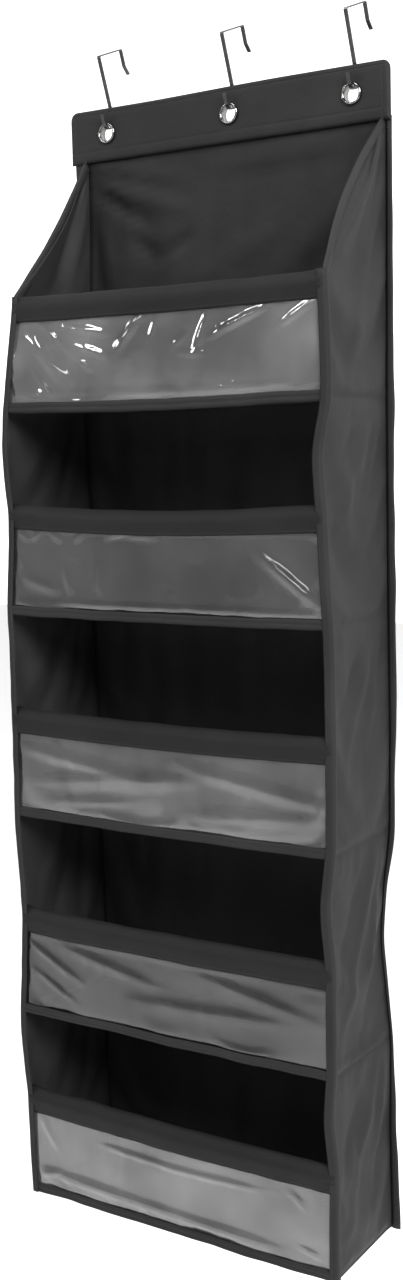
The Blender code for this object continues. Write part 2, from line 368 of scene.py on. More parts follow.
class Shading:
    """A node tree, with short names for the nodes that the materials and the sky are built from."""

    def __init__(self, owner, coordinates="Object"):
        owner.use_nodes = True
        self.nodes = owner.node_tree.nodes
        self.links = owner.node_tree.links
        self.coordinates = self.nodes.new("ShaderNodeTexCoord").outputs[coordinates]

    def fill(self, node, inputs):
        """Sets each input to a value, or links it to another node's output."""
        for key, value in inputs.items():
            if isinstance(value, bpy.types.NodeSocket):
                self.links.new(value, node.inputs[key])
            else:
                node.inputs[key].default_value = value
        return node

    def add(self, kind, inputs):
        return self.fill(self.nodes.new(f"ShaderNode{kind}"), inputs)

    def surface(self, inputs):
        self.fill(self.nodes["Principled BSDF"], inputs)

    def threads(self, direction, period):
        """Threads along one direction, period metres apart."""
        wave = self.add("TexWave", {
            "Vector": self.coordinates, "Scale": 2 * math.pi / (20 * period),
            "Distortion": 0.6, "Detail": 1.0, "Detail Scale": 0.4,
        })
        wave.wave_type = "BANDS"
        wave.bands_direction = direction
        return wave.outputs["Fac"]

    def noise(self, scale, detail=4.0, roughness=0.55):
        inputs = {"Vector": self.coordinates, "Scale": scale, "Detail": detail, "Roughness": roughness}
        return self.add("TexNoise", inputs).outputs["Fac"]

    def creases(self, scale, detail, distortion):
        inputs = {"Vector": self.coordinates, "Scale": scale, "Detail": detail, "Distortion": distortion}
        node = self.add("TexNoise", inputs)
        node.noise_type = "RIDGED_MULTIFRACTAL"
        return node.outputs["Fac"]

    def combine(self, operation, first, second):
        node = self.add("Math", {0: first, 1: second})
        node.operation = operation
        return node.outputs["Value"]

    def ramp(self, factor, *stops):
        node = self.add("ValToRGB", {"Fac": factor})
        elements = node.color_ramp.elements
        while len(elements) < len(stops):
            elements.new(0.5)
        for element, (position, colour) in zip(elements, stops):
            element.position = position
            element.color = (*colour, 1.0)
        return node.outputs["Color"]

    def span(self, factor, low, high, start=0.25, end=0.75):
        """From low to high as the factor goes from start to end."""
        limits = {"From Min": start, "From Max": end, "To Min": low, "To Max": high}
        return self.add("MapRange", {"Value": factor, **limits}).outputs["Result"]

    def bump(self, height, strength, distance, before=None):
        inputs = {"Strength": strength, "Distance": distance, "Height": height}
        if before is not None:
            inputs["Normal"] = before
        return self.add("Bump", inputs).outputs["Normal"]


def grey(value):
    return (value,) * 3


def cloth_material(name, dark, light, across, thread=0.0008, rib=False, roughness=0.66):
    """Plain weave, or a ribbed tape, in black yarn: threads, cloudy dye, dusty high spots, soft creases."""
    material = bpy.data.materials.new(name)
    shading = Shading(material)
    warp = shading.threads(across, thread)
    weft = shading.threads("Z", thread * (1.6 if rib else 1.0))
    weave = weft if rib else shading.combine("MULTIPLY", warp, weft)
    dye = shading.combine("MULTIPLY", shading.noise(14.0), 0.75)
    tone = shading.combine("ADD", dye, shading.combine("MULTIPLY", weave, 0.25))
    dust = shading.combine("MULTIPLY", shading.noise(900.0, 2.0), 0.12)
    soft = shading.bump(shading.noise(55.0, 3.0, 0.6), 0.40, 0.0016)
    shading.surface({
        "Base Color": shading.ramp(tone, (0.30, grey(dark)), (0.72, grey(light))),
        "Roughness": shading.combine("ADD", dust, roughness - 0.06),
        "Normal": shading.bump(weave, 0.35, thread * 0.25, soft),
        "Sheen Weight": 0.008,
        "Sheen Roughness": 0.45,
        "Specular IOR Level": 0.15,
    })
    return material


def thread_material():
    material = bpy.data.materials.new("sewing_thread")
    shading = Shading(material)
    twist = shading.noise(2500.0, 1.0)
    shading.surface({
        "Base Color": shading.ramp(twist, (0.3, grey(0.012)), (0.7, grey(0.026))),
        "Roughness": shading.span(twist, 0.45, 0.65),
        "Specular IOR Level": 0.5,
    })
    return material


def film_material(tier, tone, haze, crinkled, coat):
    """Clear soft film: a faint milky haze in cloudy patches, its level per window partly painted reflection,
    and crinkles that catch the light.
    """
    material = bpy.data.materials.new(f"clear_film_{tier}")
    shading = Shading(material)
    clouds = shading.noise(11.0 + tier)
    patches = shading.span(shading.noise(17.0 + tier, 2.0), 0.0, 1.0, 0.48, 0.66)
    crinkles = shading.combine("MULTIPLY", shading.creases(26.0, 2.5, 0.6), patches)
    slow = shading.bump(shading.noise(24.0, 1.0), 0.5, 0.004)
    shading.surface({
        # Base colour: the milky haze, with each window's tone partly painted reflection.
        "Base Color": shading.ramp(clouds, (0.35, grey(tone * 0.6)), (0.68, grey(tone * 1.5))),
        "Alpha": shading.span(clouds, haze - 0.06, haze + 0.06),
        "Roughness": shading.span(clouds, 0.05, 0.13),
        "Normal": shading.bump(crinkles, crinkled, 0.0040, slow),
        "IOR": 1.54,
        "Specular IOR Level": 0.8,
        "Coat Weight": coat,
        "Coat Roughness": 0.04,
    })
    return material


def nickel_material():
    material = bpy.data.materials.new("bright_nickel")
    shading = Shading(material)
    tarnish = shading.noise(260.0)
    shading.surface({
        "Base Color": shading.ramp(tarnish, (0.3, (0.11, 0.11, 0.107)), (0.7, (0.19, 0.19, 0.185))),
        "Roughness": shading.span(tarnish, 0.08, 0.16),
        "Normal": shading.bump(shading.noise(2200.0, 2.0), 0.08, 0.0001),
        "Metallic": 1.0,
    })
    return material


def hook_material():
    """Black-coated strip: satin, with the coat rubbed thin in patches."""
    material = bpy.data.materials.new("black_coated_steel")
    shading = Shading(material)
    speckle = shading.noise(900.0, 3.0)
    wear = shading.noise(120.0, 4.0, 0.7)
    shading.surface({
        "Base Color": shading.ramp(wear, (0.45, grey(0.012)), (0.66, grey(0.030)), (0.80, grey(0.12))),
        "Roughness": shading.span(speckle, 0.28, 0.42),
        "Normal": shading.bump(speckle, 0.15, 0.00015),
        "Metallic": 0.4,
        "Coat Weight": 0.3,
    })
    return material


def board_material():
    material = bpy.data.materials.new("grey_board")
    shading = Shading(material)
    fibres = shading.noise(300.0, 6.0, 0.7)
    shading.surface({
        "Base Color": shading.ramp(fibres, (0.3, (0.20, 0.18, 0.16)), (0.7, (0.36, 0.33, 0.29))),
        "Roughness": shading.span(fibres, 0.78, 0.92),
        "Normal": shading.bump(fibres, 0.2, 0.0002),
    })
    return material


# ---------------------------------------------------------------- header

def slab_lines(low, high, edge, marks):
    """Grid lines from low to high: close together along both edges and at the marks, wider between."""
    lines = set(np.round(np.concatenate([
        low + edge * (1 - np.cos(np.linspace(0, math.pi / 2, 6))),
        high - edge * (1 - np.cos(np.linspace(0, math.pi / 2, 6))),
        *[mark + np.array([-0.0012, -0.0006, 0.0, 0.0006, 0.0012]) for mark in marks],
    ]), 6))
    spare = [line for line in np.arange(low + edge, high - edge, 0.0035)
             if min(abs(line - other) for other in lines) > 0.0012]
    return sorted(lines | set(np.round(spare, 6)))


def slab_spot(u, v, low, high, corner):
    """A point of a slab's face and its distance from the rim, with both upper corners rounded."""
    spot = Vector((u, v))
    top = high.y - corner
    if corner and v > top:
        centre = Vector((min(max(u, low.x + corner), high.x - corner), top))
        away = spot - centre
        if abs(away.x) > 1e-9:
            spot = centre + away.normalized() * max(abs(away.x), abs(away.y))
        if abs(spot.x - (low.x + high.x) / 2) > (high.x - low.x) / 2 - corner:
            return spot, max(corner - (spot - centre).length, 0.0)
    return spot, max(min(spot.x - low.x, high.x - spot.x, spot.y - low.y, high.y - spot.y), 0.0)


def stuffed_slab(name, lines, thickness, place, groove, material, corner=0.0):
    """A closed slab of two cloth faces over a board, on grid lines (us, vs).

    place(u, v, height) lays a point. The faces round down to each other at the rim, and groove(u, v) is
    how deep the stitching pulls them in.
    """
    us, vs = lines
    low, high = Vector((us[0], vs[0])), Vector((us[-1], vs[-1]))
    round_over = thickness * 0.7
    bm = bmesh.new()
    for face in (1.0, -1.0):
        grid = []
        for u in us:
            row = []
            for v in vs:
                spot, edge = slab_spot(u, v, low, high, corner)
                fall = 1.0 if edge >= round_over else math.sqrt(1 - (1 - edge / round_over) ** 2)
                height = face * (thickness / 2 * fall - groove(spot.x, spot.y) * fall)
                row.append(bm.verts.new(place(spot.x, spot.y, height)))
            grid.append(row)
        for i in range(len(us) - 1):
            for j in range(len(vs) - 1):
                corners = [grid[i][j], grid[i + 1][j], grid[i + 1][j + 1], grid[i][j + 1]]
                bm.faces.new(corners if face > 0 else corners[::-1])
    bmesh.ops.remove_doubles(bm, verts=bm.verts, dist=0.00002)
    bmesh.ops.recalc_face_normals(bm, faces=bm.faces)
    return smooth_object(name, bm, material)


def cut_holes(obj, places, radius, depth):
    """Round holes along Y, cut and applied."""
    bm = bmesh.new()
    for x, y, z in places:
        turn = Matrix.Translation((x, y, z)) @ Matrix.Rotation(math.radians(90), 4, "X")
        bmesh.ops.create_cone(
            bm, cap_ends=True, segments=48, radius1=radius, radius2=radius, depth=depth, matrix=turn
        )
    mesh = bpy.data.meshes.new("holes")
    bm.to_mesh(mesh)
    bm.free()
    cutter = bpy.data.objects.new("holes", mesh)
    bpy.context.scene.collection.objects.link(cutter)
    cut = obj.modifiers.new("holes", "BOOLEAN")
    cut.operation = "DIFFERENCE"
    cut.solver = "EXACT"
    cut.object = cutter
    applied(obj)
    bpy.data.objects.remove(cutter, do_unlink=True)


def line_dent(distance, depth, width=0.0007):
    return depth * math.exp(-((distance / width) ** 2))


TOP_STITCH = 0.0045
FOOT_STITCH = 0.0095
END_STITCH = 0.0065


def eyelet_distances(x, z):
    return [math.hypot(x - middle.x, z - middle.z) for middle in EYELET_MIDDLES.values()]


def make_header(cloth, thread):
    half = BAND_HIGH.x
    top = BAND_HIGH.z
    thickness = -BAND_LOW.y

    def groove(x, z):
        dents = [
            line_dent(top - z - TOP_STITCH, 0.0005),
            line_dent(z - FOOT_STITCH, 0.0003),
            line_dent(half - abs(x) - END_STITCH, 0.0003),
        ]
        pull = sum(0.0007 * math.exp(-((away - 0.011) / 0.004) ** 2) for away in eyelet_distances(x, z))
        return max(dents) + pull

    def place(x, z, height):
        calm = 1 - math.exp(-((min(eyelet_distances(x, z)) / 0.018) ** 4))
        wave = ripple((x, 0, z), 0.06, 0.0010, 4) * min((top - z) / 0.02, 1.0) * calm
        lift = ripple((x, 0, 0), 0.16, 0.0016, 5) * max(z / top, 0.0)
        return Vector((x, -thickness / 2 - height + wave, z + lift))

    lines = (
        slab_lines(-half, half, 0.0035, (END_STITCH - half, half - END_STITCH)),
        slab_lines(-0.001, top, 0.0035, (FOOT_STITCH, top - TOP_STITCH)),
    )
    header = stuffed_slab("header", lines, thickness, place, groove, cloth, corner=0.008)
    cut_holes(header, EYELET_MIDDLES.values(), 0.0081, 0.03)
    header.data.shade_smooth()
    header.data.set_sharp_from_angle(angle=math.radians(60))
    attach(header, "root", "black_fabric", "header_band", "header_lining")
    left, right, foot, crown = END_STITCH - half, half - END_STITCH, FOOT_STITCH, top - TOP_STITCH
    routes = [
        [(left, 0, crown), (right, 0, crown)],
        [(left, 0, foot), (right, 0, foot)],
        [(left, 0, foot), (left, 0, crown)],
        [(right, 0, foot), (right, 0, crown)],
    ]
    rows = [
        stitch_rows("header_stitching", header, routes, (0, 1, 0), thread),
        stitch_rows("header_rear_stitching", header, routes, (0, -1, 0), thread),
    ]
    for row in rows:
        attach(row, "root", "binding_tape")


def turned_piece(name, profile, steps, centre, material):
    """A closed profile of (radius, distance in front of centre), turned about an axis along Y."""
    bm = bmesh.new()
    rings = []
    for step in range(steps):
        angle = 2 * math.pi * step / steps
        rings.append([
            bm.verts.new((
                centre.x + radius * math.cos(angle), centre.y - ahead, centre.z + radius * math.sin(angle)
            ))
            for radius, ahead in profile
        ])
    for ring, following in zip(rings, rings[1:] + rings[:1]):
        for index in range(len(profile)):
            after = (index + 1) % len(profile)
            bm.faces.new((ring[index], ring[after], following[after], following[index]))
    bmesh.ops.recalc_face_normals(bm, faces=bm.faces)
    return smooth_object(name, bm, material)


def make_eyelets(nickel):
    """A rolled flange over the band, a barrel through it, and the flat washer that it is clinched on."""
    for place in EYELETS:
        low, high = corners_of(f"eyelet_{place}")
        washer_low, washer_high = corners_of(f"washer_{place}")
        centre = Vector(((low.x + high.x) / 2, 0.0, (low.z + high.z) / 2))
        outer = (high.x - low.x) / 2
        bore = EYELET_BORE
        crown = -low.y
        roll = (outer - bore) / 2
        arc = [
            (bore + roll - roll * math.cos(angle), crown - 0.0019 + 0.0019 * math.sin(angle))
            for angle in np.linspace(0.0, math.pi * 1.04, 14)
        ]
        inside = [
            (bore + roll - (roll - 0.0004) * math.cos(angle), crown - 0.0019 + 0.0015 * math.sin(angle))
            for angle in np.linspace(math.pi * 1.0, 0.0, 12)
        ]
        clinch = [(bore + 0.0005, -0.0006), (bore + 0.0016, -washer_high.y - 0.0001),
                  (bore + 0.0013, -washer_high.y - 0.0006), (bore, -washer_high.y - 0.0003)]
        eyelet = turned_piece(f"eyelet_{place}_ring", arc + inside + clinch, 64, centre, nickel)
        ring = [(bore + 0.0007, -washer_low.y - 0.00005), (outer - 0.0002, -washer_low.y - 0.00005),
                (outer, -(washer_low.y + washer_high.y) / 2), (outer - 0.0003, -washer_high.y + 0.0001),
                (bore + 0.0012, -washer_high.y + 0.0002)]
        washer = turned_piece(f"eyelet_{place}_washer", ring, 64, centre, nickel)
        for piece, node in ((eyelet, f"eyelet_{place}"), (washer, f"washer_{place}")):
            attach(piece, "root", "nickel", node)


# ---------------------------------------------------------------- back, sides and shelves

def seam_heights():
    return [FLOORS[tier] + 0.002 for tier in TIERS]


def seam_distance(z):
    return min(abs(z - height) for height in seam_heights())


def near_seam(z):
    return seam_distance(z) < 0.0035


def back_slack(x, z):
    """0 where the back cloth is sewn, 1 a few centimetres away from every seam."""
    seam = min(seam_distance(z), abs(z)) / 0.03
    edge = min(x + back_half["left"](z), back_half["right"](z) - x) / 0.04
    return max(min(seam, edge, 1.0), 0.0)


def clear_shelves(back):
    """Sets the slack cloth back, and evens off what is still in the way of the shelves as they fold up."""
    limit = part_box("shelf_cover_1")[1][1] + 0.0008
    ease = 0.0004
    for vert in back.data.vertices:
        y = vert.co.y + 0.0035 * back_slack(vert.co.x, vert.co.z)
        vert.co.y = limit + ease * math.log1p(math.exp((y - limit) / ease))
    back.data.update()


def make_back(cloth, thread):
    """The long back sheet. Its folds fan out of the upper left corner of the top pocket."""
    rows = 150

    def surface(u, v):
        z = mix(BASE, BACK_HIGH.z, v)
        x = mix(-back_half["left"](z) - 0.001, back_half["right"](z) + 0.001, u)
        return Vector((x, -0.0012 + ripple((x, 0, z), 0.09, 0.0012, 8) * back_slack(x, z), z))

    back = sheet_mesh("back_panel_cloth", 50, rows, surface, cloth)

    def pinned(co):
        edge = min(co.x + back_half["left"](co.z), back_half["right"](co.z) - co.x)
        return edge < 0.003 or co.z > -0.004 or near_seam(co.z) or co.z < BASE + 0.004

    settle(back, pinned, slack=0.006, bending=1.5, push=0.0, cap=0.004)
    valleys = [
        ((-0.157, -0.011), (-0.100, -0.026), 0.005, 0.0045),
        ((-0.157, -0.024), (-0.083, -0.068), 0.006, 0.0055),
        ((-0.111, -0.074), (-0.078, -0.100), 0.005, 0.0042),
        ((-0.078, -0.100), (-0.039, -0.079), 0.005, 0.0042),
        ((-0.154, -0.035), (-0.148, -0.125), 0.007, 0.0045),
    ]
    ridges = [
        ((-0.150, -0.006), (-0.045, -0.027), 0.005, -0.0035),
        ((-0.150, -0.018), (-0.050, -0.054), 0.007, -0.0045),
        ((0.050, -0.130), (0.150, -0.050), 0.013, -0.0042),
        ((-0.040, -0.125), (0.050, -0.085), 0.012, -0.0035),
        ((0.000, -0.020), (0.120, -0.014), 0.007, -0.0029),
    ]
    press_folds(back, valleys + ridges, (0, 2), Vector((0, 1, 0)))
    clear_shelves(back)
    thicken(back, CLOTH)
    routes = [[(-0.166, 0, height), (0.166, 0, height)] for height in seam_heights()]
    rear = stitch_rows("back_seam_stitching", back, routes, (0, -1, 0), thread)
    hang(back, "black_fabric", "back_panel")
    hang(rear, "binding_tape")


def panel_heights(rows):
    """Heights from the base to just under the header, close together at each seam."""
    stops = [BASE, *sorted(seam_heights()[:-1]), 0.002]
    shares = (1 - np.cos(np.linspace(0.0, math.pi, rows))) / 2
    spans = [low + (high - low) * shares[:-1] for low, high in zip(stops, stops[1:])]
    return [*np.concatenate(spans), stops[-1]]


def make_side(side, cloth, thread):
    """A side panel: taut along each shelf and slack between them, so that it bellies out."""
    sign = SIDES[side]

    def place(z, u):
        front = side_front_point(side, z)
        back = side_back_point(side, z)
        point = front.lerp(back, u)
        free = min(seam_distance(z) / 0.05, 1.0) * math.sin(math.pi * u)
        swell = 0.0030 + ripple((0, point.y, z), 0.05, 0.0045, 11 + sign)
        point.x += sign * free * swell * (1 - gusset_share(z))
        return point

    panel = swept_strip(f"side_panel_{side}_cloth", panel_heights(34), np.linspace(0, 1, 23), place, cloth)

    def pinned(co):
        front = side_front_point(side, co.z)
        open_edge = co.z > MOUTH + 0.004
        at_front = abs(co.y - front.y) < 0.002 and not open_edge
        return at_front or co.y > -0.004 or near_seam(co.z) or co.z < BASE + 0.004 or co.z > -0.006

    settle(panel, pinned, slack=0.005, bending=4.0, push=sign * 0.4, cap=0.006)
    folds = []
    for tier, reach in SIDE_FOLDS.items():
        top = FLOORS.get(tier - 1, MOUTH)
        folds += [
            ((-0.016, top - 0.006), (-0.045, top - 0.9 * reach), 0.0045, 0.0030),
            ((-0.028, top - 0.008), (-0.098, top - reach), 0.0060, 0.0034),
            ((-0.052, top - 0.012), (-0.106, top - 0.7 * reach), 0.0060, -0.0024),
            ((-0.012, top - 0.5 * reach), (-0.060, top - 1.1 * reach), 0.0060, -0.0022),
        ]
    folds += [
        ((-0.010, -0.020), (-0.052, -0.120), 0.0050, 0.0034),
        ((-0.020, -0.060), (-0.075, -0.220), 0.0090, 0.0026),
    ]
    press_folds(panel, folds, (1, 2), Vector((sign, 0, 0)))
    for vert in panel.data.vertices:
        seam = seam_distance(vert.co.z)
        inner = min(-vert.co.y / 0.01, (vert.co.y - FRONT_Y) / 0.01, 1.0)
        vert.co.x -= sign * 0.0014 * math.exp(-((seam / 0.0035) ** 2)) * max(inner, 0.0)
    panel.data.update()
    thicken(panel, CLOTH)
    routes = [
        [(sign * 0.17, -0.008, height), (sign * 0.17, FRONT_Y + 0.010, height)] for height in seam_heights()
    ]
    rows = stitch_rows(f"side_{side}_seam_stitching", panel, routes, (-sign, 0, 0), thread)
    hang(panel, "black_fabric", f"side_panel_{side}")
    hang(rows, "binding_tape")


def make_shelf(tier, cloth, thread):
    """Two cloth faces sewn round the shelf board, with a stitch line inside the rim."""
    low, high = corners_of(f"shelf_cover_{tier}")
    middle = (low.z + high.z) / 2
    inset = 0.005

    def groove(x, y):
        rim = min(x - low.x, high.x - x, y - low.y, high.y - y)
        return line_dent(rim - inset, 0.0005)

    def place(x, y, height):
        return Vector((x, y, middle + height + ripple((x, y, 0), 0.05, 0.0004, 30 + tier)))

    lines = (
        slab_lines(low.x, high.x, 0.003, (low.x + inset, high.x - inset)),
        slab_lines(low.y, high.y, 0.003, (low.y + inset, high.y - inset)),
    )
    cover = stuffed_slab(f"shelf_{tier}_cloth", lines, high.z - low.z, place, groove, cloth)
    ring = [
        (low.x + inset, low.y + inset, middle), (high.x - inset, low.y + inset, middle),
        (high.x - inset, high.y - inset, middle), (low.x + inset, high.y - inset, middle),
        (low.x + inset, low.y + inset, middle),
    ]
    rows = stitch_rows(f"shelf_{tier}_stitching", cover, [ring], (0, 0, -1), thread, reach=0.008)
    for piece, slot in ((cover, "black_fabric"), (rows, "binding_tape")):
        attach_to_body(piece, f"shelf_{tier}")
    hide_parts(f"shelf_cover_{tier}")


# ---------------------------------------------------------------- fronts

def fold_section(height, depth, overlap, steps=5):
    """A strip folded over an edge: (depth, height) from the front foot, over the fold, down behind."""
    radius = depth / 2
    front = [(0.0, h) for h in np.linspace(0.0, height - radius, 9)]
    fold = [
        (radius - radius * math.cos(angle), height - radius + radius * math.sin(angle))
        for angle in np.linspace(0.0, math.pi, steps + 2)[1:-1]
    ]
    rear = [(depth, h) for h in np.linspace(height - radius, height - overlap, 5)]
    return front + fold + rear


def make_hem(tier, cloth, thread):
    """The folded cloth band along the top of a front, with a row of stitches near its lower edge."""
    low, top = HEM_LOWS[tier], HEM_TOPS[tier]
    shares = np.linspace(0.004, 0.996, 120)

    def place(share, spot):
        depth, height = spot
        point = front_point(tier, share, low + height, depth - 0.0006)
        rise = height / (top - low)
        end = min(share, 1 - share) * 0.34
        pucker = 0.0012 * math.exp(-end / 0.015) * math.sin(height * 1400 + share * 90)
        point.y += pucker + ripple((point.x, 0, point.z), 0.022, 0.0010, 40 + tier) * (1 - 0.4 * rise)
        point.y -= 0.0020 * math.sin(math.pi * min(rise, 1.0) ** 1.5) * (1 if depth < 0.001 else -0.3)
        point.y += 0.0040 * max(rise - 0.66, 0.0) / 0.34
        point.z += (ripple((point.x, 0, 0), 0.03, 0.0008, 50 + tier) + 0.0022 * math.exp(-end / 0.006)) * rise
        return point

    section = fold_section(top - low, 0.0040, top - low - 0.002, steps=9)
    hem = swept_strip(f"hem_{tier}_cloth", shares, section, place, cloth)
    thicken(hem, CLOTH)
    route = [front_point(tier, share, low + 0.0022) for share in np.linspace(0.02, 0.98, 40)]
    rows = stitch_rows(f"hem_{tier}_stitching", hem, [route], (0, 1, 0), thread)
    hang(hem, "black_fabric", f"hem_band_{tier}")
    hang(rows, "binding_tape")


def make_binding(tier, tape, thread):
    """The narrow tape folded up over the window's foot, in two ribs with the stitches between them."""
    low, top = FLOORS[tier], BINDING_TOPS[tier]
    shares = np.linspace(0.004, 0.996, 110)
    height = top - low

    def place(share, spot):
        depth, rise = spot
        point = front_point(tier, share, top - rise, depth - 0.0006)
        rib = 0.0009 * abs(math.sin(2 * math.pi * min(rise / height, 1.0)))
        point.y += -rib if depth < 0.001 else 0.0
        point.y += ripple((point.x, 0, point.z), 0.018, 0.0006, 60 + tier)
        point.z += ripple((point.x, 0, 0), 0.03, 0.0006, 70 + tier)
        return point

    section = fold_section(height, 0.0028, height - 0.001)
    binding = swept_strip(f"lower_binding_{tier}_tape", shares, section, place, tape)
    thicken(binding, CLOTH)
    route = [front_point(tier, share, low + height / 2) for share in np.linspace(0.02, 0.98, 40)]
    rows = stitch_rows(f"lower_binding_{tier}_stitching", binding, [route], (0, 1, 0), thread)
    hang(binding, "binding_tape", f"lower_binding_{tier}")
    hang(rows, "binding_tape")


# Folds pressed into each window: start and end as shares of its width and height, then width and height.
WINDOW_FOLDS = {
    1: (
        ((0.01, 0.95), (0.06, 0.15), 0.0028, 0.0020), ((0.02, 0.55), (0.05, 0.02), 0.0020, 0.0016),
        ((0.10, 0.80), (0.22, 0.22), 0.0080, 0.0050), ((0.13, 0.95), (0.24, 0.55), 0.0028, 0.0020),
        ((0.16, 0.06), (0.10, 0.42), 0.0026, 0.0018), ((0.22, 0.90), (0.36, 0.78), 0.0034, 0.0024),
        ((0.26, 0.66), (0.36, 0.50), 0.0030, 0.0022), ((0.25, 0.50), (0.31, 0.36), 0.0026, 0.0016),
        ((0.39, 0.58), (0.46, 0.94), 0.0040, 0.0028), ((0.51, 0.92), (0.49, 0.66), 0.0028, 0.0016),
        ((0.63, 0.50), (0.67, 0.95), 0.0036, 0.0024), ((0.67, 0.66), (0.84, 0.97), 0.0030, 0.0026),
        ((0.87, 0.72), (0.96, 0.98), 0.0030, 0.0022), ((0.56, 0.58), (0.60, 0.72), 0.0026, 0.0014),
        ((0.06, 0.10), (0.60, 0.06), 0.0028, 0.0010), ((0.45, 0.05), (0.98, 0.09), 0.0028, 0.0010),
        ((0.57, 0.50), (0.66, 0.47), 0.0024, 0.0012),
    ),
    2: (
        ((0.05, 0.95), (0.08, 0.86), 0.0024, 0.0018), ((0.09, 0.86), (0.11, 0.95), 0.0024, 0.0018),
        ((0.16, 0.94), (0.19, 0.86), 0.0024, 0.0018), ((0.24, 0.85), (0.26, 0.95), 0.0024, 0.0018),
        ((0.34, 0.91), (0.40, 0.95), 0.0024, 0.0016), ((0.40, 0.93), (0.50, 0.91), 0.0022, 0.0014),
        ((0.06, 0.36), (0.17, 0.22), 0.0050, 0.0018), ((0.20, 0.52), (0.22, 0.20), 0.0040, 0.0018),
        ((0.80, 0.75), (0.99, 0.10), 0.0050, 0.0028), ((0.96, 0.96), (0.99, 0.92), 0.0020, 0.0014),
        ((0.03, 0.05), (0.98, 0.05), 0.0030, 0.0016), ((0.02, 0.97), (0.98, 0.97), 0.0018, 0.0010),
    ),
    3: (
        ((0.05, 0.80), (0.45, 0.55), 0.0060, 0.0022), ((0.10, 0.40), (0.60, 0.62), 0.0070, 0.0020),
        ((0.55, 0.80), (0.95, 0.50), 0.0060, 0.0020), ((0.15, 0.15), (0.40, 0.25), 0.0040, 0.0012),
        ((0.60, 0.20), (0.95, 0.30), 0.0060, 0.0014),
    ),
    4: (
        ((0.02, 0.90), (0.22, 0.45), 0.0030, 0.0020), ((0.05, 0.50), (0.20, 0.15), 0.0030, 0.0016),
        ((0.15, 0.90), (0.45, 0.60), 0.0050, 0.0020), ((0.40, 0.35), (0.90, 0.45), 0.0060, 0.0016),
        ((0.03, 0.97), (0.97, 0.96), 0.0020, 0.0010), ((0.60, 0.85), (0.95, 0.55), 0.0060, 0.0016),
    ),
    5: (
        ((0.26, 0.80), (0.52, 0.76), 0.0026, 0.0026), ((0.48, 0.76), (0.76, 0.79), 0.0026, 0.0028),
        ((0.05, 0.20), (0.45, 0.15), 0.0050, 0.0030), ((0.42, 0.15), (0.84, 0.10), 0.0050, 0.0030),
        ((0.03, 0.95), (0.10, 0.55), 0.0040, 0.0018), ((0.86, 0.90), (0.92, 0.70), 0.0035, 0.0018),
        ((0.88, 0.22), (0.97, 0.14), 0.0030, 0.0018), ((0.03, 0.14), (0.10, 0.24), 0.0030, 0.0016),
    ),
}


def make_window(tier, film):
    """A clear sheet sewn in on all four sides. It settles between them and keeps its pressed folds."""
    low, high = BINDING_TOPS[tier] - 0.006, HEM_LOWS[tier] + 0.006
    seen_low, seen_high = BINDING_TOPS[tier], HEM_LOWS[tier]

    def surface(u, v):
        z = mix(low, high, v)
        point = front_point(tier, mix(0.006, 0.994, u), z, 0.0008)
        inner = math.sin(math.pi * v) * math.sin(math.pi * u)
        point.y += ripple((point.x, 0, z), 0.035, 0.0016, 80 + tier) * inner
        return point

    window = sheet_mesh(f"window_{tier}_film", 150, 40, surface, film)
    left, right = front_half["left"](seen_low), front_half["right"](seen_low)

    def pinned(co):
        sewn = co.z > seen_high + 0.0005 or co.z < seen_low - 0.0005
        return sewn or co.x < -left + 0.008 or co.x > right - 0.008

    settle(window, pinned, slack=0.001, bending=12.0, push=0.0, cap=0.003, frames=18)
    width, height = left + right, seen_high - seen_low

    def spot(share):
        return (-left + share[0] * width, seen_low + share[1] * height)

    folds = [(spot(start), spot(end), wide, tall) for start, end, wide, tall in WINDOW_FOLDS[tier]]
    press_folds(window, folds, (0, 2), Vector((0, -1, 0)))
    thicken(window, FILM)
    hang(window, "clear_sheet", f"window_{tier}")


# ---------------------------------------------------------------- tapes

def make_corner_tape(side, tape, thread):
    """The tape round a front corner, from the base to the mouth of the top pocket."""
    sign = SIDES[side]
    heights = np.linspace(BASE, MOUTH + 0.001, 190)
    flat, turn = 0.0070, 0.0016
    section = [(-flat, 0.0), (-flat * 0.7, -0.0003), (-flat * 0.35, -0.0003), (-turn, 0.0)]
    section += [
        (-turn + turn * math.sin(angle), turn - turn * math.cos(angle))
        for angle in np.linspace(0.3, math.pi / 2, 4)
    ]
    section += [(0.0002, depth) for depth in (0.0030, 0.0045, 0.0060)]

    def place(z, spot):
        out, depth = spot
        corner = sign * front_half[side](z)
        wave = ripple((corner, 0, z), 0.02, 0.0006, 90 + sign)
        return Vector((corner + sign * (out + 0.0004), front_y(corner, z) + depth - 0.0018 + wave, z))

    strip = swept_strip(f"front_binding_{side}_tape", heights, section, place, tape)
    thicken(strip, CLOTH)
    route = [place(z, (-flat * 0.75, 0.0)) for z in np.linspace(BASE + 0.004, MOUTH - 0.002, 120)]
    rows = stitch_rows(f"front_binding_{side}_stitching", strip, [route], (0, 1, 0), thread)
    hang(strip, "binding_tape", f"front_binding_{side}")
    hang(rows, "binding_tape")
    section_length(section)


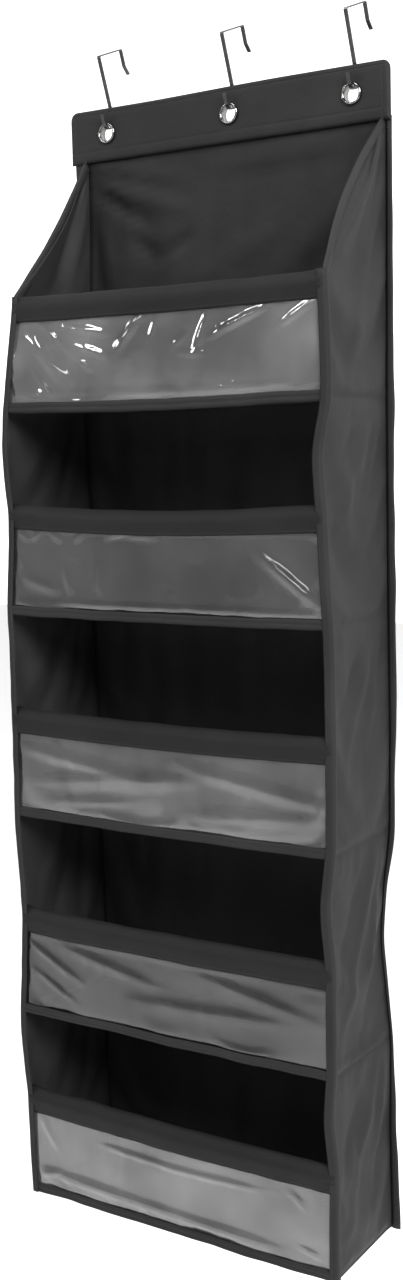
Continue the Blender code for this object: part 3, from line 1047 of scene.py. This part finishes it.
def make_flange(side, tape, thread):
    """The tape folded along the flange outside the side seam."""
    sign = SIDES[side]
    heights = np.linspace(BASE, 0.003, 170)
    section = [
        (0.0, 0.0022), (0.35, 0.0024), (0.8, 0.0022), (1.0, 0.0014),
        (0.8, 0.0005), (0.35, 0.0003), (-0.1, 0.0005),
    ]

    def reach(z):
        outer = flange_half[side](z) + ripple((0, 0, z), 0.04, 0.0012, 95 + sign)
        return max(outer - back_half[side](z) - 0.0012, 0.002)

    def place(z, spot):
        out, depth = spot
        x = sign * (back_half[side](z) + 0.0012 + out * reach(z))
        return Vector((x, -depth - ripple((x, 0, z), 0.05, 0.0012, 97) * out, z))

    strip = swept_strip(f"back_binding_{side}_tape", heights, section, place, tape)
    thicken(strip, CLOTH * 0.8)
    route = [place(z, (0.45, 0.001)) for z in np.linspace(BASE + 0.004, -0.006, 120)]
    rows = stitch_rows(f"back_binding_{side}_stitching", strip, [route], (0, 1, 0), thread)
    hang(strip, "binding_tape", f"back_binding_{side}")
    hang(rows, "binding_tape")
    usual = float(np.mean([reach(z) for z in heights]))
    width = section_length([(out * usual, depth) for out, depth in section])


def make_gusset_hem(side, cloth, thread):
    """The narrow folded hem along the cut-away top edge of a side panel."""
    sign = SIDES[side]
    heights = np.linspace(MOUTH - 0.001, -0.002, 60)
    section = [
        (-0.0075, 0.0009), (-0.0038, 0.0013), (0.0, 0.0011), (0.0019, 0.0),
        (0.0, -0.0011), (-0.0038, -0.0013), (-0.0075, -0.0009),
    ]
    down = Vector((0.0, 0.78, -0.62))

    def place(z, spot):
        back, out = spot
        edge = side_front_point(side, z)
        return edge - down * back + Vector((sign * (out + ripple(edge, 0.03, 0.0008, 99)), 0, 0))

    hem = swept_strip(f"gusset_{side}_hem", heights, section, place, cloth)
    thicken(hem, CLOTH * 0.8)
    hang(hem, "black_fabric")
    section_length(section)


# ---------------------------------------------------------------- hooks, boards, studio

def make_hooks(black_steel):
    """Each hook is a copy of its CAD strip with the edges eased."""
    for place in EYELETS:
        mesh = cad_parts[f"hook_{place}"].data.copy()
        mesh.materials.clear()
        hook = add_object(f"hook_{place}_strip", mesh, black_steel)
        ease = hook.modifiers.new("eased edges", "BEVEL")
        ease.width = 0.00025
        ease.segments = 2
        ease.limit_method = "ANGLE"
        ease.angle_limit = math.radians(50)
        applied(hook)
        hook.data.shade_smooth()
        hook.data.set_sharp_from_angle(angle=math.radians(40))
        attach(hook, f"hook_{place}_body", "black_steel", f"hook_{place}")


def dress_boards(board):
    """The boards keep their CAD shape and get their own material."""
    for node in ["header_board"] + [f"shelf_board_{tier}" for tier in TIERS]:
        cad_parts[node].data.materials.clear()
        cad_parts[node].data.materials.append(board)


CAMERA_PLACE = Vector((0.8243, -1.2763, -0.2829))
CAMERA_YAW = math.radians(34.0)
CAMERA_PITCH = math.radians(6.864)
CAMERA_ROLL = math.radians(-1.244)
CAMERA_LENS = 44.44


def make_camera():
    data = bpy.data.cameras.new("camera")
    data.lens = CAMERA_LENS
    data.sensor_width = 36.0
    data.clip_start = 0.05
    camera = bpy.data.objects.new("camera", data)
    ahead = Vector((
        -math.sin(CAMERA_YAW) * math.cos(CAMERA_PITCH),
        math.cos(CAMERA_YAW) * math.cos(CAMERA_PITCH),
        -math.sin(CAMERA_PITCH),
    ))
    right = Vector((math.cos(CAMERA_YAW), math.sin(CAMERA_YAW), 0.0))
    above = right.cross(ahead)
    turned_right = right * math.cos(CAMERA_ROLL) + above * math.sin(CAMERA_ROLL)
    turned_above = above * math.cos(CAMERA_ROLL) - right * math.sin(CAMERA_ROLL)
    turn = Matrix((turned_right, turned_above, -ahead)).transposed()
    camera.matrix_world = Matrix.Translation(CAMERA_PLACE) @ turn.to_4x4()
    bpy.context.scene.collection.objects.link(camera)
    bpy.context.scene.camera = camera


def area_light(name, place, target, size, power):
    data = bpy.data.lights.new(name, "AREA")
    data.shape = "RECTANGLE"
    data.size, data.size_y = size
    data.energy = power
    light = bpy.data.objects.new(name, data)
    light.location = place
    light.rotation_euler = (Vector(target) - Vector(place)).to_track_quat("-Z", "Y").to_euler()
    bpy.context.scene.collection.objects.link(light)


def make_sky():
    """White behind the object and dimmer in front of it, so that the film and metal mirror some contrast."""
    world = bpy.data.worlds.new("studio")
    shading = Shading(world, "Generated")
    parts = shading.add("SeparateXYZ", {"Vector": shading.coordinates})
    ahead = shading.span(parts.outputs["Z"], 0.75, 0.30, 0.0, 0.5)
    behind = shading.span(parts.outputs["Y"], 0.0, 1.70, -0.15, 0.30)
    strength = shading.combine("MAXIMUM", ahead, behind)
    shading.fill(shading.nodes["Background"], {"Strength": strength, "Color": (1.0, 1.0, 1.0, 1.0)})
    return world


def make_studio():
    scene = bpy.context.scene
    scene.view_settings.view_transform = "Standard"
    scene.world = make_sky()
    middle = (0.0, -0.06, -0.5)
    area_light("key", (2.1, -1.4, 1.1), middle, (1.2, 1.4), 190)
    area_light("top", (-0.3, -1.3, 1.6), middle, (1.3, 0.25), 36)
    area_light("left_glint", (-1.9, -1.2, 0.3), middle, (0.25, 0.35), 11)
    area_light("high_glint", (-1.35, -1.65, 0.9), middle, (0.45, 0.25), 11)
    area_light("front_glint", (-0.46, -2.30, 0.45), middle, (0.70, 0.10), 3)

    bm = bmesh.new()
    bmesh.ops.create_grid(bm, x_segments=1, y_segments=1, size=8.0)
    mesh = bpy.data.meshes.new("floor")
    bm.to_mesh(mesh)
    bm.free()
    material = bpy.data.materials.new("pale_floor")
    Shading(material).surface({"Base Color": (0.93, 0.93, 0.93, 1.0), "Roughness": 0.9})
    floor = add_object("floor", mesh, material)
    floor.location.z = BASE - 0.42


def main():
    make_camera()
    make_studio()
    front_cloth = cloth_material("black_cloth_front", 0.005, 0.010, "X")
    # The sides' copy of the black cloth runs its threads along Y and is lighter than the front's: painted
    # light, for the key lamp falling on the sides.
    side_cloth_painted_lighter = cloth_material("black_cloth_side_painted_lighter", 0.009, 0.016, "Y")
    # The hems' copy of the black cloth is darker than the front's: painted shade, for hems that lean away
    # from the light.
    hem_cloth_painted_darker = cloth_material("black_cloth_hem_painted_shade", 0.0026, 0.0060, "X")
    shelf_cloth = cloth_material("black_cloth_shelf", 0.007, 0.012, "Y")
    tape = cloth_material("binding_tape_cloth", 0.006, 0.011, "X", 0.0006, rib=True, roughness=0.7)
    thread = thread_material()
    make_header(front_cloth, thread)
    make_eyelets(nickel_material())
    make_back(front_cloth, thread)
    for side in SIDES:
        make_side(side, side_cloth_painted_lighter, thread)
        make_gusset_hem(side, side_cloth_painted_lighter, thread)
        make_corner_tape(side, tape, thread)
        make_flange(side, tape, thread)
    for tier in TIERS:
        make_shelf(tier, shelf_cloth, thread)
        make_binding(tier, tape, thread)
        make_window(tier, film_material(tier, **FILM_LOOKS[tier]))
        make_hem(tier, hem_cloth_painted_darker, thread)
    make_hooks(hook_material())
    dress_boards(board_material())


main()
